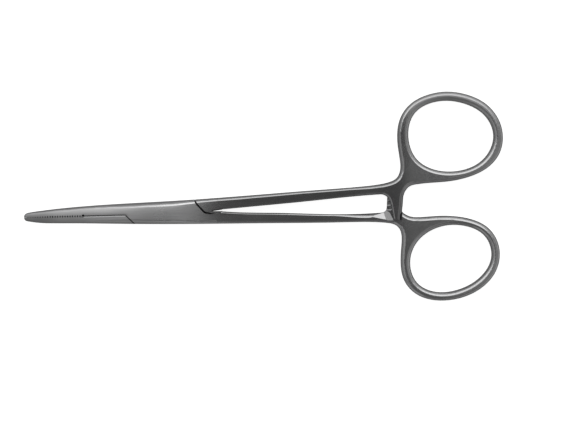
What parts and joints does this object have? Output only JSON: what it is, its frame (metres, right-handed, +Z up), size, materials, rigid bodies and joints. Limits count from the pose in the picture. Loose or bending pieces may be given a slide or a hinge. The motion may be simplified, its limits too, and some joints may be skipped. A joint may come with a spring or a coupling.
{
  "type": "hemostat forceps",
  "caption": "Straight box-lock hemostat forceps: serrated tapering jaws, long shanks, ratchet arms and finger rings, turning on a flush pivot pin.",
  "frame": {"origin": "pivot axis, on the underside of the box lock", "axes": "+X along the closed forceps from the pivot towards the finger rings, +Y across it, towards the tongue half's ring, +Z up, along the pivot axis"},
  "size_m": [0.1401, 0.0612, 0.005],
  "materials": {
    "box_half_steel": "satin",
    "tongue_half_steel": "satin",
    "pin_steel": "satin"
  },
  "bodies": {
    "box_side": {"box_half": "box_half_steel", "pivot_pin": "pin_steel"},
    "tongue_side": {"tongue_half": "tongue_half_steel"}
  },
  "joints": [
    {"name": "pivot", "type": "hinge", "parent": "box_side", "child": "tongue_side", "pos_m": [0, 0, 0], "axis": [0, 0, 1], "range_deg": [0, 60]}
  ]
}
